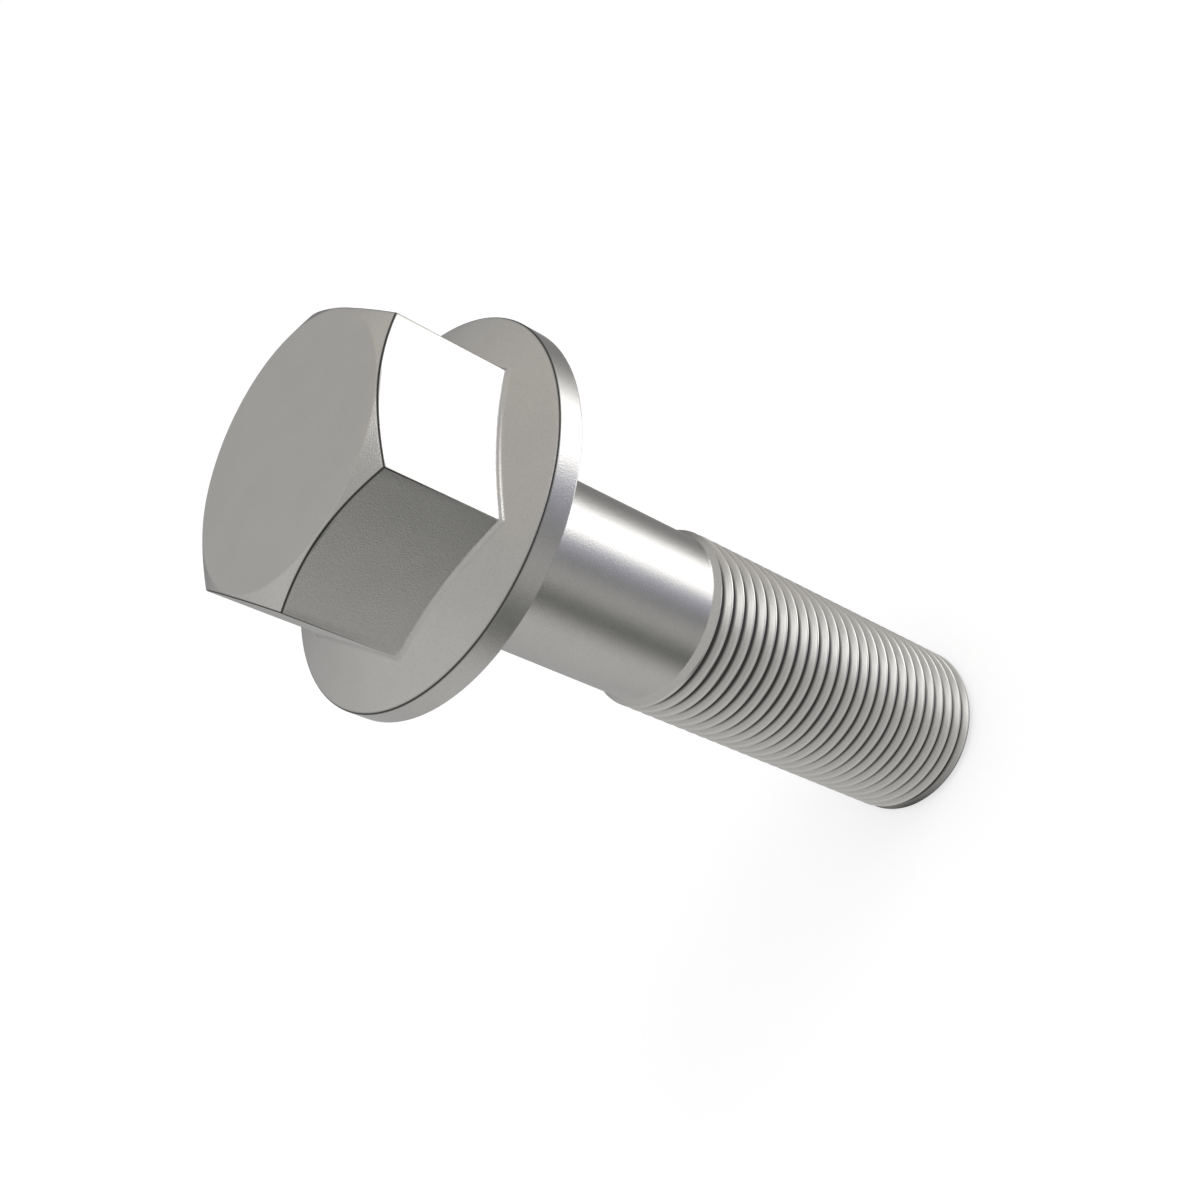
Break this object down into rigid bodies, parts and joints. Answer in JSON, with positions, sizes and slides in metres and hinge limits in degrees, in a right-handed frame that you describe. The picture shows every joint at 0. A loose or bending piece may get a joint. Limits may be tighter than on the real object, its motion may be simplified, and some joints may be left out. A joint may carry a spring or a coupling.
{
  "type": "flange bolt",
  "caption": "Hexagon-head bolt with a conical flange under the head, a plain reduced shank and a fine thread to a chamfered flat end.",
  "frame": {"origin": "centre of the flat bearing face under the flange, on the bolt's axis", "axes": "+Z along the bolt's axis from the thread end to the head; Y through two opposite corners of the hexagon; X square to two of its flats"},
  "size_m": [0.0244, 0.0244, 0.0536],
  "materials": {
    "steel": "satin, fine bead-blasted grain"
  },
  "bodies": {
    "root": {"flange_bolt": "steel"}
  },
  "joints": []
}
